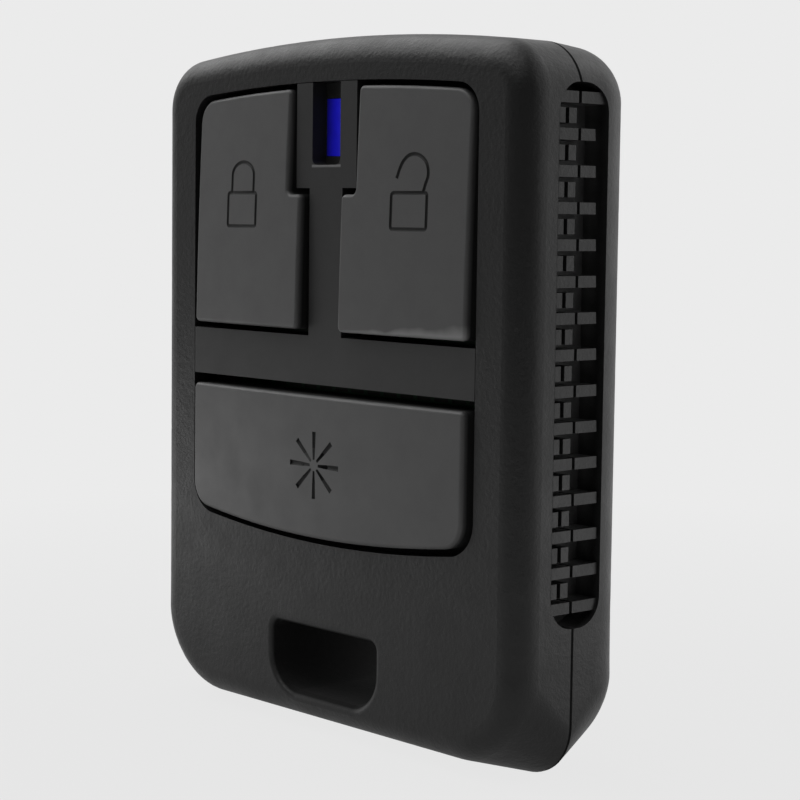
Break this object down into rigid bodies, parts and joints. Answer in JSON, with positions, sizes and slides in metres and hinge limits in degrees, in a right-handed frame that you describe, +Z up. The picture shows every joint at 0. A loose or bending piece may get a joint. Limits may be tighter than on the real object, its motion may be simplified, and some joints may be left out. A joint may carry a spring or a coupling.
{
  "type": "car_alarm_remote",
  "caption": "Black plastic car alarm remote with domed padlock and star keys, a slotted divider with a status lamp, ribbed side grips and a strap opening.",
  "frame": {"origin": "Under the middle of the object, at the height of its lowest edge.", "axes": "X runs across the keys, Z runs up from the strap end to the lamp end, and the keys face -Y."},
  "size_m": [0.0442, 0.0131, 0.0555],
  "materials": {
    "shell_plastic": "fine moulded grain",
    "key_plastic": "smooth satin",
    "blue_plastic": "translucent polished",
    "lamp_plastic": "clear",
    "board_laminate": "lacquered",
    "switch_plastic": "moulded",
    "button_plastic": "moulded",
    "chip_plastic": "moulded",
    "ceramic": "sintered",
    "plated_steel": "nickel plated",
    "plated_brass": "tinned"
  },
  "bodies": {
    "case": {"front_shell": "shell_plastic", "rear_shell": "shell_plastic", "key_divider": "shell_plastic", "light_guide": "blue_plastic", "status_led": "lamp_plastic", "circuit_board": "board_laminate", "lock_switch": "switch_plastic", "unlock_switch": "switch_plastic", "star_switch": "switch_plastic", "code_chip": "chip_plastic", "saw_resonator": "plated_steel", "rf_transistor": "chip_plastic", "trimmer_capacitor": "button_plastic", "chip_capacitors": "ceramic", "chip_resistors": "chip_plastic", "antenna_loop": "plated_brass", "battery": "plated_steel", "battery_clip": "plated_steel", "battery_contact": "plated_brass", "case_screws": "plated_steel"},
    "lock_key": {"lock_key": "key_plastic", "lock_switch_button": "button_plastic"},
    "unlock_key": {"unlock_key": "key_plastic", "unlock_switch_button": "button_plastic"},
    "star_key": {"star_key": "key_plastic", "star_switch_button": "button_plastic"}
  },
  "joints": [
    {"name": "lock_key_press", "type": "slide", "parent": "case", "child": "lock_key", "axis": [0, 1, 0], "range_m": [0, 0.0003], "stiffness_N_per_m": 3000},
    {"name": "unlock_key_press", "type": "slide", "parent": "case", "child": "unlock_key", "axis": [0, 1, 0], "range_m": [0, 0.0003], "stiffness_N_per_m": 3000},
    {"name": "star_key_press", "type": "slide", "parent": "case", "child": "star_key", "axis": [0, 1, 0], "range_m": [0, 0.0003], "stiffness_N_per_m": 3000}
  ]
}
